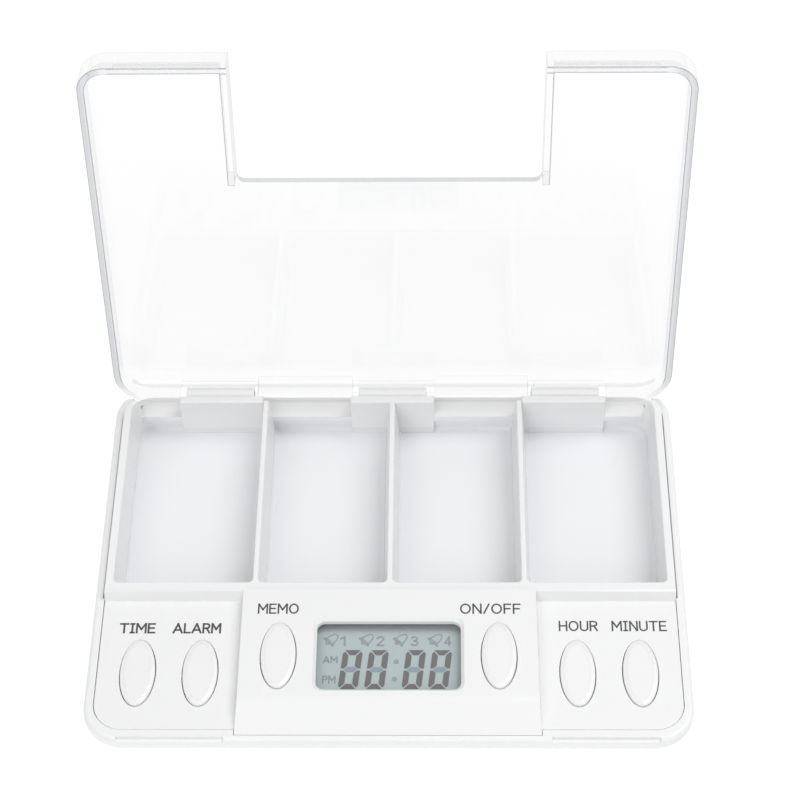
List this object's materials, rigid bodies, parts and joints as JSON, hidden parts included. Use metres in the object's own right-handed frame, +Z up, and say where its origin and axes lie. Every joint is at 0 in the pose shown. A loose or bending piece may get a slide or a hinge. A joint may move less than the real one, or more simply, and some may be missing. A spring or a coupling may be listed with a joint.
{
  "type": "electronic pill box",
  "caption": "Shallow white pill box with open compartments, a hinged clear lid, a raised console with a small display, and oval push keys.",
  "frame": {"origin": "middle of the flat underside", "axes": "+X to the right along the hinge, +Y to the back, +Z up; the lid stands open at the back"},
  "size_m": [0.115, 0.0991, 0.0953],
  "materials": {
    "white_plastic": "smooth white moulding, soft gloss",
    "key_plastic": "white, satin",
    "clear_plastic": "clear, polished",
    "display": "greenish grey display glass",
    "board": "green board",
    "black_plastic": "matt black",
    "rubber": "matt grey",
    "steel": "plated"
  },
  "bodies": {
    "housing": {"base_shell": "white_plastic", "top_housing": "white_plastic", "window_lens": "clear_plastic", "display_glass": "display", "display_holder": "white_plastic", "contact_strip_front": "rubber", "contact_strip_rear": "rubber", "circuit_board": "board", "buzzer": "black_plastic", "clock_chip": "black_plastic", "quartz_crystal": "steel", "coin_cell": "steel", "cell_contact_negative": "steel", "cell_contact_positive": "steel", "cell_door": "white_plastic", "door_screw": "steel", "housing_screw_left": "steel", "housing_screw_right": "steel", "board_screw_back_left": "steel", "board_screw_back_right": "steel", "board_screw_front_left": "steel", "board_screw_front_right": "steel", "switch_time": "black_plastic", "switch_alarm": "black_plastic", "switch_memo": "black_plastic", "switch_on_off": "black_plastic", "switch_hour": "black_plastic", "switch_minute": "black_plastic"},
    "lid": {"lid": "clear_plastic"},
    "time_key": {"key_time": "key_plastic", "plunger_time": "rubber"},
    "alarm_key": {"key_alarm": "key_plastic", "plunger_alarm": "rubber"},
    "memo_key": {"key_memo": "key_plastic", "plunger_memo": "rubber"},
    "on_off_key": {"key_on_off": "key_plastic", "plunger_on_off": "rubber"},
    "hour_key": {"key_hour": "key_plastic", "plunger_hour": "rubber"},
    "minute_key": {"key_minute": "key_plastic", "plunger_minute": "rubber"}
  },
  "joints": [
    {"name": "lid_hinge", "type": "hinge", "parent": "housing", "child": "lid", "pos_m": [0, 0.0401, 0.0136], "axis": [1, 0, 0], "range_deg": [0, 97.5]},
    {"name": "time_press", "type": "slide", "parent": "housing", "child": "time_key", "axis": [0, 0, -1], "range_m": [0, 0.0006], "stiffness_N_per_m": 2500},
    {"name": "alarm_press", "type": "slide", "parent": "housing", "child": "alarm_key", "axis": [0, 0, -1], "range_m": [0, 0.0006], "stiffness_N_per_m": 2500},
    {"name": "memo_press", "type": "slide", "parent": "housing", "child": "memo_key", "axis": [0, 0, -1], "range_m": [0, 0.0006], "stiffness_N_per_m": 2500},
    {"name": "on_off_press", "type": "slide", "parent": "housing", "child": "on_off_key", "axis": [0, 0, -1], "range_m": [0, 0.0006], "stiffness_N_per_m": 2500},
    {"name": "hour_press", "type": "slide", "parent": "housing", "child": "hour_key", "axis": [0, 0, -1], "range_m": [0, 0.0006], "stiffness_N_per_m": 2500},
    {"name": "minute_press", "type": "slide", "parent": "housing", "child": "minute_key", "axis": [0, 0, -1], "range_m": [0, 0.0006], "stiffness_N_per_m": 2500}
  ]
}
